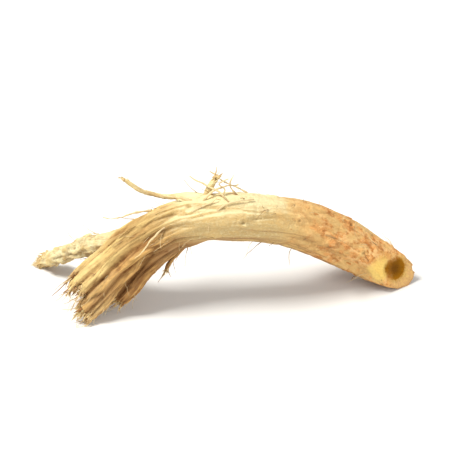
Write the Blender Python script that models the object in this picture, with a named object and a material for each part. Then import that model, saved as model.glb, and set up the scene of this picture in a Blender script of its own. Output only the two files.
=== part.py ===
"""A dried, cut piece of valerian root that stands like a low bridge on three points.

The object is in metres, +Z up. The origin is on the floor below the middle of the root, and +X runs to its
cut end. The sizes and points below are in millimetres.
"""

import math

import bmesh
import bpy
from mathutils import Matrix, Vector, noise

MM = 0.001

# The trunk: points along its middle, each with the root's radius there.
# It rises from the split end at -X, runs over the top and comes down to the cut end at +X.
TRUNK_LINE = (
    (-11.0, -0.2, 2.4, 1.15),
    (-9.2, 0.0, 4.2, 1.60),
    (-7.3, 0.1, 5.7, 1.64),
    (-5.3, 0.2, 6.8, 1.56),
    (-3.3, 0.2, 7.1, 1.66),
    (-1.0, 0.1, 7.1, 1.80),
    (1.3, 0.2, 6.65, 1.74),
    (3.4, 0.6, 5.85, 1.78),
    (5.4, 1.0, 4.70, 1.86),
    (7.6, 1.1, 3.25, 1.84),
    (9.6, 0.7, 1.95, 1.64),
    (11.1, 0.0, 1.32, 1.42),
    (12.5, -1.0, 1.05, 1.24),
)
TRUNK_SIDES = 40
STRAND_SIDES = 12
ROOTLET_SIDES = 8
SPAN_STEPS = 5

# Ridges and furrows of the dried bark, as a share of the radius: shallow over the top, deep where it splits.
RIDGE_DEPTH = 0.14
SPLIT_RIDGE_DEPTH = 0.32
SPLIT_FROM = -3.0
SPLIT_FULL = -7.5
RIDGES_AROUND = 2.4
RIDGE_RUN = 0.15

# The fork at the split end: the branch that reaches back to the rear foot, the strand that comes down to the
# front foot, and the thin strand that hangs below the trunk. Each ends in the open at its last point.
BRANCH_LINE = (
    (-5.6, 0.3, 6.4, 0.90),
    (-7.6, 0.7, 5.75, 0.92),
    (-9.6, 1.6, 4.55, 0.86),
    (-11.6, 2.8, 3.4, 0.76),
    (-13.3, 4.2, 1.9, 0.72),
    (-14.3, 5.1, 0.85, 0.62),
    (-14.9, 5.6, 0.36, 0.48),
)
FRONT_FOOT_LINE = (
    (-7.6, -0.3, 5.0, 0.80),
    (-9.6, -0.9, 3.0, 0.86),
    (-11.0, -1.5, 1.35, 0.72),
    (-12.1, -2.0, 0.30, 0.48),
)
LOW_STRAND_LINE = (
    (-3.2, -0.1, 6.0, 0.70),
    (-5.4, -0.5, 5.1, 0.62),
    (-7.2, -0.9, 3.7, 0.56),
    (-8.6, -1.3, 2.1, 0.52),
    (-9.8, -1.3, 0.9, 0.40),
)

# The strands that the trunk's end has split into, round its middle: the angle from its back side over its
# top, how far each reaches past the trunk's end, how far it leans out there, and its radius.
STRANDS = (
    (15, 1.2, 0.30, 0.66),
    (62, 1.5, 0.25, 0.74),
    (103, 1.9, 0.10, 0.70),
    (140, 1.3, 0.35, 0.66),
    (180, 2.4, 0.15, 0.76),
    (216, 1.2, 0.10, 0.64),
    (283, 0.9, -0.10, 0.70),
    (328, 1.6, 0.05, 0.66),
)
STRAND_START = 0.27
STRAND_RING = 1.10
# How a strand's free end narrows: how far along it, and the share of the strand's radius there.
STRAND_TIP = ((0.35, 0.95), (0.70, 0.80), (0.93, 0.60), (1.00, 0.30))

# Thin rootlets: two that lean back along the top, a broken stump on the front, and one that hangs below.
ROOTLETS = (
    (
        (-2.0, 0.7, 8.2, 0.36),
        (-3.9, 1.4, 8.35, 0.31),
        (-5.7, 2.1, 7.9, 0.27),
        (-7.4, 2.8, 8.15, 0.24),
        (-8.9, 3.4, 9.1, 0.20),
    ),
    ((-2.9, 0.6, 8.3, 0.34), (-2.6, 0.9, 9.2, 0.29), (-1.8, 1.5, 10.0, 0.24)),
    ((6.0, -0.4, 4.6, 0.42), (6.3, -1.1, 4.9, 0.36), (6.8, -1.7, 5.1, 0.28)),
    ((-3.9, 0.2, 5.9, 0.38), (-4.5, 0.4, 4.7, 0.34), (-5.6, 0.3, 3.4, 0.29), (-6.0, 0.6, 2.1, 0.23)),
)

# The oblique cut at the +X end: a point on it and the way it faces.
CUT_POINT = Vector((11.5, -0.2, 1.35))
CUT_FACING = Vector((0.46, -0.83, 0.32)).normalized()
CUTTER_SIZE = 16.0

# The middle of the finished root's box in all the numbers above. It is moved over the origin.
BOX_MIDDLE = Vector((-1.213, 1.774, 0.0))

BARK_COLOUR = (0.60, 0.40, 0.19, 1)
BARK_ROUGHNESS = 0.8
SHARP_ANGLE = math.radians(50)


def smooth_route(points, steps):
    """Points on one smooth curve through these, each with its radius, this many to a span."""
    ends = [
        tuple(2 * a - b for a, b in zip(points[0], points[1])),
        tuple(2 * a - b for a, b in zip(points[-1], points[-2])),
    ]
    knots = [ends[0], *points, ends[1]]
    route = []
    for before, start, stop, after in zip(knots, knots[1:], knots[2:], knots[3:]):
        for step in range(steps):
            t = step / steps
            route.append(
                tuple(
                    b + 0.5 * t * (c - a + t * (2 * a - 5 * b + 4 * c - d + t * (3 * (b - c) + d - a)))
                    for a, b, c, d in zip(before, start, stop, after)
                )
            )
    return [*route, tuple(points[-1])]


def tube(name, route, sides):
    """A closed round tube along the route, as a mesh object in metres."""
    curve = bpy.data.curves.new(name, "CURVE")
    curve.dimensions = "3D"
    curve.bevel_depth = MM
    curve.bevel_resolution = sides // 2 - 2
    curve.use_fill_caps = True
    spline = curve.splines.new("POLY")
    spline.points.add(len(route) - 1)
    for point, (x, y, z, radius) in zip(spline.points, route):
        point.co = (x * MM, y * MM, z * MM, 1)
        point.radius = radius
    guide = bpy.data.objects.new(name, curve)
    bpy.context.scene.collection.objects.link(guide)
    graph = bpy.context.evaluated_depsgraph_get()
    mesh = bpy.data.meshes.new_from_object(guide.evaluated_get(graph))
    bpy.data.objects.remove(guide)
    body = bmesh.new()
    body.from_mesh(mesh)
    bmesh.ops.remove_doubles(body, verts=body.verts, dist=0.002 * MM)
    bmesh.ops.recalc_face_normals(body, faces=body.faces)
    body.to_mesh(mesh)
    body.free()
    return bpy.data.objects.new(name, mesh)


def ridge_depth(along):
    """How deep the ridges are at this X: they deepen towards the split end."""
    share = (SPLIT_FROM - along) / (SPLIT_FROM - SPLIT_FULL)
    return RIDGE_DEPTH + (SPLIT_RIDGE_DEPTH - RIDGE_DEPTH) * min(max(share, 0.0), 1.0)


def wrinkle(piece, route):
    """Draws ridges and furrows along a tube: each point moves along its own spoke from the route."""
    centres = [Vector(point[:3]) * MM for point in route]
    for vertex in piece.data.vertices:
        centre = min(centres, key=lambda place: (place - vertex.co).length_squared)
        spoke = vertex.co - centre
        along = centre.x / MM
        turn = math.atan2(spoke.z, spoke.y)
        place = Vector((RIDGES_AROUND * math.cos(turn), RIDGES_AROUND * math.sin(turn), RIDGE_RUN * along))
        vertex.co += spoke * ridge_depth(along) * noise.noise(place)


def strand_route(trunk, angle, reach, lean, radius):
    """A strand that starts inside the trunk, runs along it to the split end and leans out past it."""
    count = int(len(trunk) * STRAND_START)
    turn = math.radians(angle)
    route = []
    for place in range(count + 1):
        here, ahead, behind = (trunk[max(count - place + step, 0)] for step in (0, -1, 1))
        along = (Vector(ahead[:3]) - Vector(behind[:3])).normalized()
        side = Vector((0, 1, 0))
        over = side.cross(along).normalized()
        out = math.cos(turn) * side + math.sin(turn) * over
        share = place / count
        centre = Vector(here[:3]) + out * STRAND_RING * (0.3 + 0.7 * share)
        route.append((*centre, radius * (0.7 + 0.3 * share)))
    for share, width in STRAND_TIP:
        point = centre + (along + lean * share * out) * reach * share
        route.append((*point, radius * width))
    return route


def grow_together(root, strands):
    """Joins the strands and rootlets to the trunk as one solid, and removes them."""
    union = root.modifiers.new("grown together", "BOOLEAN")
    union.operation = "UNION"
    union.operand_type = "COLLECTION"
    union.collection = strands
    union.solver = "EXACT"
    graph = bpy.context.evaluated_depsgraph_get()
    solid = bpy.data.meshes.new_from_object(root.evaluated_get(graph))
    root.modifiers.clear()
    root.data = solid
    for strand in list(strands.objects):
        bpy.data.objects.remove(strand)


def cut_away(root, name, point, facing, cutters):
    """Cuts the root off along a plane through the point: what lies on the side that it faces goes."""
    bpy.ops.mesh.primitive_cube_add(size=CUTTER_SIZE * MM)
    block = bpy.context.object
    block.name = name
    turned = facing.to_track_quat("Z", "Y").to_matrix().to_4x4()
    block.data.transform(Matrix.Translation((point + facing * CUTTER_SIZE / 2) * MM) @ turned)
    block.hide_render = True
    block.display_type = "WIRE"
    for holder in block.users_collection:
        holder.objects.unlink(block)
    cutters.objects.link(block)
    cut = root.modifiers.new(name, "BOOLEAN")
    cut.operation = "DIFFERENCE"
    cut.object = block
    cut.solver = "EXACT"


def bark():
    """Pale straw-brown dried bark."""
    material = bpy.data.materials.new("bark")
    material.use_nodes = True
    shader = material.node_tree.nodes["Principled BSDF"]
    shader.inputs["Base Color"].default_value = BARK_COLOUR
    shader.inputs["Roughness"].default_value = BARK_ROUGHNESS
    shader.inputs["Metallic"].default_value = 0.0
    return material


def main():
    for old in list(bpy.data.objects):
        bpy.data.objects.remove(old)
    kept = bpy.data.collections.new("valerian_root")
    strands = bpy.data.collections.new("strands")
    cutters = bpy.data.collections.new("cutters")
    for collection in (kept, strands, cutters):
        bpy.context.scene.collection.children.link(collection)

    trunk_route = smooth_route(TRUNK_LINE, SPAN_STEPS)
    root = tube("valerian_root", trunk_route, TRUNK_SIDES)
    wrinkle(root, trunk_route)
    kept.objects.link(root)

    routes = [smooth_route(line, SPAN_STEPS) for line in (BRANCH_LINE, FRONT_FOOT_LINE, LOW_STRAND_LINE)]
    routes += [strand_route(trunk_route, *strand) for strand in STRANDS]
    for number, route in enumerate(routes, 1):
        strands.objects.link(tube(f"strand_{number}", route, STRAND_SIDES))
    for number, line in enumerate(ROOTLETS, 1):
        strands.objects.link(tube(f"rootlet_{number}", smooth_route(line, SPAN_STEPS), ROOTLET_SIDES))
    grow_together(root, strands)
    bpy.data.collections.remove(strands)

    cut_away(root, "cut_end", CUT_POINT, CUT_FACING, cutters)
    cut_away(root, "floor_at_the_split", Vector((SPLIT_FULL, 0, 0)), Vector((0, 0, -1)), cutters)
    cut_away(root, "floor_at_the_cut", Vector((-SPLIT_FULL, 0, 0)), Vector((0, 0, -1)), cutters)
    for piece in (root, *cutters.objects):
        piece.location = -BOX_MIDDLE * MM

    root.data.materials.clear()
    root.data.materials.append(bark())
    root.data.shade_smooth()
    root.data.set_sharp_from_angle(angle=SHARP_ANGLE)


main()
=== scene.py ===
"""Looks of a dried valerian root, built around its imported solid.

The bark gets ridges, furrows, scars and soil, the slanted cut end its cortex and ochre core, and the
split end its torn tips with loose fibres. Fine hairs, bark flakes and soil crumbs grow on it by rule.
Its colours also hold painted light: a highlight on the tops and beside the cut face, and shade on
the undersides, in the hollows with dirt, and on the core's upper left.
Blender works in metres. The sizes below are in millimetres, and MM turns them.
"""

import functools
import math

import bmesh
import bpy
import numpy as np
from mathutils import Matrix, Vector

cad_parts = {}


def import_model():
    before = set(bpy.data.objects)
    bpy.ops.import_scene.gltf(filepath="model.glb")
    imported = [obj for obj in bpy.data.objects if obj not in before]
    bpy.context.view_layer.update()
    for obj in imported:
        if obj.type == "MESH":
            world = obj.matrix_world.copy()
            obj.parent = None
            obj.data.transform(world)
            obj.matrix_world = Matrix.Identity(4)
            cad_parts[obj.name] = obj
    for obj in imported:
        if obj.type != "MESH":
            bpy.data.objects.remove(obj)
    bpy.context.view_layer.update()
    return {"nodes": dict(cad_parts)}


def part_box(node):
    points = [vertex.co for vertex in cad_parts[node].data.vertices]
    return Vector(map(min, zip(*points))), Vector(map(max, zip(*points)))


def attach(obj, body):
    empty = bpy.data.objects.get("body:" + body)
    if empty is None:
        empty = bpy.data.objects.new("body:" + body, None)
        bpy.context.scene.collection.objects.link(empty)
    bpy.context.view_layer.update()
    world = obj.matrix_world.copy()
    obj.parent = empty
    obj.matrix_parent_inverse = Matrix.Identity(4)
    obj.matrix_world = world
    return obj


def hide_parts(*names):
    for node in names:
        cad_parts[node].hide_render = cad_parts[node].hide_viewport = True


MM = 0.001
NODE = "valerian_root"
BODY = "root"

# The routes of the root, as its solid has them: points along each middle, with the radius there.
TRUNK_LINE = (
    (-11.0, -0.2, 2.4, 1.15),
    (-9.2, 0.0, 4.2, 1.60),
    (-7.3, 0.1, 5.7, 1.64),
    (-5.3, 0.2, 6.8, 1.56),
    (-3.3, 0.2, 7.1, 1.66),
    (-1.0, 0.1, 7.1, 1.80),
    (1.3, 0.2, 6.65, 1.74),
    (3.4, 0.6, 5.85, 1.78),
    (5.4, 1.0, 4.70, 1.86),
    (7.6, 1.1, 3.25, 1.84),
    (9.6, 0.7, 1.95, 1.64),
    (11.1, 0.0, 1.32, 1.42),
    (12.5, -1.0, 1.05, 1.24),
)
BRANCH_LINE = (
    (-5.6, 0.3, 6.4, 0.90),
    (-7.6, 0.7, 5.75, 0.92),
    (-9.6, 1.6, 4.55, 0.86),
    (-11.6, 2.8, 3.4, 0.76),
    (-13.3, 4.2, 1.9, 0.72),
    (-14.3, 5.1, 0.85, 0.62),
    (-14.9, 5.6, 0.36, 0.48),
)
FRONT_FOOT_LINE = (
    (-7.6, -0.3, 5.0, 0.80),
    (-9.6, -0.9, 3.0, 0.86),
    (-11.0, -1.5, 1.35, 0.72),
    (-12.1, -2.0, 0.30, 0.48),
)
LOW_STRAND_LINE = (
    (-3.2, -0.1, 6.0, 0.70),
    (-5.4, -0.5, 5.1, 0.62),
    (-7.2, -0.9, 3.7, 0.56),
    (-8.6, -1.3, 2.1, 0.52),
    (-9.8, -1.3, 0.9, 0.40),
)
# The strands round the split end: angle from the back side over the top, reach, outward lean, radius,
# and how brown each is, from 0 for cream to 1.
STRANDS = (
    (15, 1.2, 0.30, 0.66, 0.40),
    (62, 1.5, 0.25, 0.74, 0.10),
    (103, 1.9, 0.10, 0.70, 0.0),
    (140, 1.3, 0.35, 0.66, 0.15),
    (180, 2.4, 0.15, 0.76, 0.55),
    (216, 1.2, 0.10, 0.64, 0.80),
    (283, 0.9, -0.10, 0.70, 0.95),
    (328, 1.6, 0.05, 0.66, 0.65),
)
# Where along the trunk a strand starts, how far out it lies, and how it narrows over its tip.
STRAND_START = 0.27
STRAND_RING = 1.10
STRAND_TIP = ((0.35, 0.95), (0.70, 0.80), (0.93, 0.60), (1.00, 0.30))
ROOTLETS = (
    (
        (-2.0, 0.7, 8.2, 0.36),
        (-3.9, 1.4, 8.35, 0.31),
        (-5.7, 2.1, 7.9, 0.27),
        (-7.4, 2.8, 8.15, 0.24),
        (-8.9, 3.4, 9.1, 0.20),
    ),
    ((-2.9, 0.6, 8.3, 0.34), (-2.6, 0.9, 9.2, 0.29), (-1.8, 1.5, 10.0, 0.24)),
    ((6.0, -0.4, 4.6, 0.42), (6.3, -1.1, 4.9, 0.36), (6.8, -1.7, 5.1, 0.28)),
    ((-3.9, 0.2, 5.9, 0.38), (-4.5, 0.4, 4.7, 0.34), (-5.6, 0.3, 3.4, 0.29), (-6.0, 0.6, 2.1, 0.23)),
)
ROOTLET_KINDS = ("rootlet", "rootlet", "stub", "low")
CUT_POINT = np.array((11.5, -0.2, 1.35))
CUT_FACING = np.array((0.46, -0.83, 0.32)) / np.linalg.norm((0.46, -0.83, 0.32))
# The middle of the root's box in all the numbers above. The solid has it over the origin.
BOX_MIDDLE = np.array((-1.213, 1.774, 0.0))
# Steps between two of these points, on the trunk that strands follow, on routes, strands and whiskers.
TRUNK_STEPS = 5
ROUTE_STEPS = 10
STRAND_STEPS = 4
WHISKER_STEPS = 8

# The even mesh that the relief is carved in: its grain, how close points are that are welded, and rounds
# of softening.
GRAIN = 0.082
WELDED = 0.0001
SOFTENING = 6
# How many points are compared with the routes in one go, to spare memory.
COMPARED_AT_ONCE = 4000

# Where ridges deepen towards the split end, and how deep they are on the trunk before it.
SPLIT_FROM = -1.6
SPLIT_FULL = -5.6
RIDGES_ON_TRUNK = 0.38
# How far from its end a strand is torn and notched, and the heights over which notches fade in.
TORN_LENGTH = 0.6
NOTCHED_LENGTH = 1.6
NOTCH_HEIGHTS = (0.3, 1.0)
# Where the cut face starts: how far below its plane, and how nearly a surface faces as it does.
CUT_EDGE = (-0.20, -0.10)
CUT_TURN = (0.88, 0.95)
# The seam where one strand's pattern meets the next, and the shares of it over which fine bumps fade out.
SEAM_WIDTH = 0.30
SEAM_CALM = (0.05, 0.5)
# The gaps between strands, carved and painted dark as shade: how wide they are, and how far left of the
# middle they set in.
SPLIT_GAP_WIDTH = 0.24
SPLIT_GAP_RUN = (2.8, 6.6)
# Hairs end where a surface faces down this much, and flakes set in this far right of the middle.
FACING_DOWN = (0.6, 0.95)
FLAKY_RUN = (2.5, 6.0)
# The core that shows on the cut face: its middle and its radius.
CORE_MIDDLE = np.array((11.20, -0.23, 1.62))
CORE_RADIUS = 0.94
# A painted highlight beside the core, a golden patch, from the core's middle across the face and up it:
# middle and size.
HIGHLIGHT_MIDDLE = (-1.40, 0.37, 0.0)
HIGHLIGHT_SIZE = (1.05, 0.90)
# How far apart the patterns of different strands are taken, so that they differ.
PATTERN_APART = 11.0
# How far threads may stand outside the solid's box, as a share of each side.
BOX_SPARE = 0.02

# Rounds of evening out that the surface is compared with: for wide grooves and for small nicks.
WIDE_ROUNDS = 90
SMALL_ROUNDS = 6
# Rounds of evening out for the marks that fade from one strand into the next, and round the cut face.
FADE_ROUNDS = 40
RIM_ROUNDS = 9
GLOW_ROUNDS = 220

# How pale, how brown and how ridged each kind of strand is.
PALE_OF = {"trunk": 0.0, "strand": 0.1, "branch": 1.0, "foot": 0.25, "low": 0.0, "rootlet": 0.75, "stub": 0.0}
TONE_OF = {"trunk": 0.4, "branch": 0.2, "foot": 0.45, "low": 1.0, "rootlet": 0.15, "stub": 0.85}
RIDGED_OF = {"strand": 1.0, "branch": 0.55, "foot": 0.9, "low": 1.0, "rootlet": 0.25, "stub": 0.3}
# How far along a strand its paleness sets in.
PALE_RUN = (2.2, 6.5)
ROOTLET_PALE_RUN = (0.4, 1.2)
# The marks that fade from one strand into the next.
FADING = ("ridged", "tone", "pale")

# Thin whiskers over the top of the arch and at the split: points along each, with its radius.
WHISKERS = (
    ((-3.4, -0.3, 8.60, 0.09), (-2.5, 0.2, 9.30, 0.08), (-1.5, 0.6, 9.45, 0.07), (-0.4, 1.2, 9.10, 0.05)),
    ((-1.2, -0.6, 8.70, 0.08), (-1.9, 0.0, 9.35, 0.08), (-2.8, 0.7, 9.60, 0.07), (-4.0, 1.3, 10.10, 0.04)),
    ((-0.7, 0.5, 8.80, 0.08), (-1.1, 0.8, 9.45, 0.06), (-0.8, 1.1, 10.05, 0.03)),
    ((-2.4, -1.0, 8.30, 0.07), (-1.6, -0.8, 8.85, 0.07), (-0.6, -0.6, 8.95, 0.06), (0.5, -0.3, 8.75, 0.04)),
    ((-3.8, 0.1, 8.65, 0.11), (-4.7, 0.6, 8.75, 0.09), (-5.8, 1.3, 8.55, 0.07), (-7.1, 1.9, 8.75, 0.03)),
    ((0.5, 0.9, 8.30, 0.08), (-0.3, 1.2, 8.80, 0.07), (-1.5, 1.6, 9.30, 0.06), (-2.4, 2.0, 10.0, 0.04)),
    ((-5.9, -0.9, 7.40, 0.10), (-6.6, -1.3, 7.10, 0.08), (-7.6, -1.8, 6.20, 0.06), (-8.3, -2.0, 5.50, 0.03)),
    ((-1.9, 0.1, 8.80, 0.08), (-1.5, 0.3, 9.40, 0.07), (-1.9, 0.4, 9.90, 0.06), (-1.2, 0.6, 10.20, 0.04)),
    ((-4.6, -0.7, 8.00, 0.08), (-3.9, -0.7, 8.45, 0.08), (-2.9, -0.5, 8.75, 0.07), (-2.2, -0.4, 9.20, 0.04)),
    ((-6.8, 0.9, 7.60, 0.10), (-8.0, 1.5, 7.10, 0.08), (-9.3, 2.5, 6.00, 0.05), (-10.2, 3.3, 5.60, 0.03)),
)

# Scars where rootlets broke off the trunk: share of its length from the split end, angle, radius.
SCARS = (
    (0.30, 115, 0.34),
    (0.36, 205, 0.26),
    (0.44, 160, 0.30),
    (0.52, 60, 0.38),
    (0.58, 138, 0.24),
    (0.66, 190, 0.32),
    (0.73, 100, 0.30),
    (0.79, 152, 0.26),
    (0.86, 75, 0.34),
    (0.62, 290, 0.34),
    (0.40, 330, 0.28),
    (0.90, 200, 0.22),
)

# The relief: its depths and heights in metres, and the widths of its patterns in millimetres.
RELIEF = {
    "Furrow depth": 0.16 * MM,
    "Furrow width": 0.95,
    "Wrinkle depth": 0.06 * MM,
    "Wrinkle width": 0.42,
    "Swell": 0.16 * MM,
    "Split depth": 0.14 * MM,
    "Ring depth": 0.03 * MM,
    "Pebble height": 0.05 * MM,
    "Lump height": 1.0 * MM,
    "Scar height": 0.07 * MM,
    "Torn depth": 0.12 * MM,
    "Notch depth": 0.5 * MM,
    "Core depth": 0.06 * MM,
    "Seed": 2.0,
}

# Patterns of the relief: how wide and how many widths long they are, and what each adds to the seed.
PATCHINESS = (2.2, 2.0, 3.0)
SWELL = (1.3, 2.4, 11.0)
PEBBLES = (0.26, 1.4, 37.0)
LUMPS = (0.75, 1.3, 43.0)
NOTCHES = (0.42, 9.0, 47.0)
# Lines of the relief: how many widths long they are, what each adds to the seed, and how sharp they are.
FURROWS = (7.0, 0.0, 0.085)
WRINKLES = (6.0, 7.0, 0.12)
SPLINTERS = (14.0, 41.0, 0.16)
SPLINTER_WIDTH = 0.24
# Rings round the root: how much finer they are in each direction, and what they add to the seed.
RINGS = (0.5, 0.5, 3.2)
RING_SEED = 19.0
# Seeds of the core's edge, the rays and the grit on the cut face, added in the same way.
CORE_SEED = 23.0
RAY_SEED = 29.0
GRIT_SEED = 31.0

# Threads and bits grow where the mark in the first column is above the second.
GROWTH_INPUTS = ("Where", "From share", "Per square metre")
SHAPE_INPUTS = ("Shortest", "Longest", "Thickness", "Tip share", "Lean", "Curl", "Waver")
THREAD_INPUTS = (*GROWTH_INPUTS, *SHAPE_INPUTS, "Seed")
THREADS = {
    "splinters": ("torn", 0.4, 7e6, 0.25, 0.8, 0.15, 0.25, 0.93, 0.10, 0.05, 11),
    "torn_fibres": ("torn", 0.5, 12e6, 0.2, 1.0, 0.06, 0.4, 0.85, 0.3, 0.15, 3),
    "long_fibres": ("torn", 0.3, 1.6e6, 0.8, 2.2, 0.09, 0.3, 0.9, 0.3, 0.3, 43),
    "fine_hairs": ("hairy", 0.5, 0.5e6, 0.3, 1.7, 0.05, 0.4, 0.65, 0.5, 0.35, 17),
}
BIT_INPUTS = (*GROWTH_INPUTS, "Length", "Width", "Thickness", "Dents", "Tilt", "Seed")
BITS = {
    "bark_flakes": ("flaky", 0.5, 0.8e6, 0.5, 0.22, 0.05, 0.5, 0.16, 29),
    "soil_crumbs": ("hollow", 0.10, 4e6, 0.13, 0.08, 0.06, 0.6, 1.0, 37),
}
# The columns that hold lengths.
IN_MILLIMETRES = ("Shortest", "Longest", "Length", "Width", "Thickness", "Waver")
# How many sides a thread has, and how many points along it.
THREAD_SIDES = 5
THREAD_KNOTS = 7
# How fine the noise is, per metre, that makes threads waver and knotty, dents bits, makes the zones'
# edges ragged, stains threads, and roughens what is fine.
WAVER_SCALE = 1500.0
KNOT_SCALE = 2600.0
DENT_SCALE = 9000.0
ZONE_SCALE = 700.0
STAIN_SCALE = 2200.0
FINE_SCALE = 9000.0
SOIL_SCALE = 12000.0

# Streaks of colour along the root. A stretch is how many widths long a streak or patch is.
STREAK_INPUTS = ("Width", "Stretch", "Seed")
STREAKS = {
    "grain": (0.14, 6.0, 1.0),
    "broad": (0.5, 6.0, 4.0),
    "grey": (0.3, 8.0, 15.0),
    "fibres": (0.09, 14.0, 25.0),
    "torn": (0.12, 8.0, 41.0),
}
# Patches of colour. Spots and pores lie on the cut face, and the last three make the orange bark.
PATCH_INPUTS = ("Size", "Stretch", "Cover", "Edge", "Seed")
PATCHES = {
    "speckle": (0.14, 1.2, 0.45, 0.10, 2.0),
    "freckle": (0.40, 1.4, 0.26, 0.08, 9.0),
    "blotch": (0.8, 1.5, 0.45, 0.14, 55.0),
    "dun": (1.2, 1.3, 0.50, 0.07, 65.0),
    "dusky": (0.9, 1.3, 0.34, 0.07, 75.0),
    "lobed": (0.7, 1.3, 0.42, 0.12, 45.0),
    # shade_patches makes the painted shade on the undersides uneven.
    "shade_patches": (1.6, 2.5, 0.6, 0.2, 13.0),
    "specks": (0.10, 1.2, 0.12, 0.04, 21.0),
    "spots": (0.22, 1.0, 0.5, 0.12, 31.0),
    "pores": (0.12, 1.0, 0.3, 0.05, 35.0),
    "tan": (0.50, 1.2, 0.46, 0.06, 6.0),
    "rust": (0.32, 1.3, 0.34, 0.06, 9.0),
    "light": (0.42, 1.4, 0.46, 0.06, 12.0),
}
# Where along X the orange bark and the tan bark set in, how ragged that is, and the seed of it.
CUT_ZONE = (1.8 * MM, 8.2 * MM)
SPLIT_ZONE = (-2.8 * MM, -6.4 * MM)
RAGGEDNESS = 6 * MM
ZONE_SEED = 2.0

# The view: the photograph looks at the root from in front, a little from the left and from above.
VIEW_AZIMUTH = math.radians(-7.0)
VIEW_ELEVATION = math.radians(35.0)
VIEW_LENS = 200.0
VIEW_SENSOR = 36.0
VIEW_FILL = 0.84
VIEW_CLIP = 0.5
# The lights: place, size, power and colour.
LIGHTS = {
    "key": ((-0.08, 0.0, 0.15), 0.06, 0.34, (1.0, 0.985, 0.95)),
    "fill": ((0.14, -0.14, 0.09), 0.12, 0.15, (1.0, 0.99, 0.97)),
}
WORLD_COLOUR = (1.0, 1.0, 1.0, 1.0)
WORLD_STRENGTH = 0.45
FLOOR_SIZE = 1.2
FLOOR_ROUGHNESS = 0.9


def paint(red, green, blue):
    """A colour as seen on screen, from 0 to 255, as the linear numbers that a shader takes."""
    shares = (value / 255 for value in (red, green, blue))
    return (*(s / 12.92 if s <= 0.04045 else ((s + 0.055) / 1.055) ** 2.4 for s in shares), 1.0)


# Cream of the speckles, also painted where the surface faces up as a highlight.
CREAM = paint(248, 234, 184)
PALE_BARK = paint(214, 188, 132)
STRAW_BARK = paint(208, 168, 100)
RIDGE_TAN = paint(212, 156, 86)
WORN_TAN = paint(236, 186, 110)
STRAND_YELLOW = paint(246, 218, 144)
FIBRE_BROWN = paint(150, 98, 50)
BRANCH_PALE = paint(243, 233, 188)
BRANCH_TAN = paint(176, 136, 82)
GREY_STREAK = paint(172, 144, 98)
GOLDEN_STRAW = paint(228, 190, 122)
ORANGE_LIGHT = paint(255, 212, 146)
ORANGE_PALE = paint(236, 172, 102)
ORANGE_TAN = paint(196, 128, 66)
RUST_BARK = paint(158, 98, 46)
# Dark brown of pores, soil crumbs and dirt in furrows, also painted as shade in the hollows and on the core's
# upper left.
FURROW_BROWN = paint(98, 58, 24)
# Brown of the brown strands and of specks on flakes, also painted where the surface faces down as shade.
BROWN_AND_UNDER_SHADE = paint(150, 102, 58)
SOIL = paint(84, 54, 32)
# Yellow of the cut cortex, also painted beside the core as a highlight.
CORTEX_YELLOW = paint(255, 218, 124)
CORTEX_GOLD = paint(226, 172, 82)
CORE_OCHRE = paint(112, 68, 0)
CORE_PITH = paint(170, 110, 0)
RIM_TAN = paint(216, 168, 114)
RIM_BROWN = paint(190, 144, 98)
TORN_PALE = paint(240, 216, 160)
TORN_BROWN = paint(146, 98, 52)
HAIR_PALE = paint(226, 204, 156)
HAIR_BROWN = paint(150, 108, 66)
FLOOR_WHITE = paint(240, 239, 236)


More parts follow.
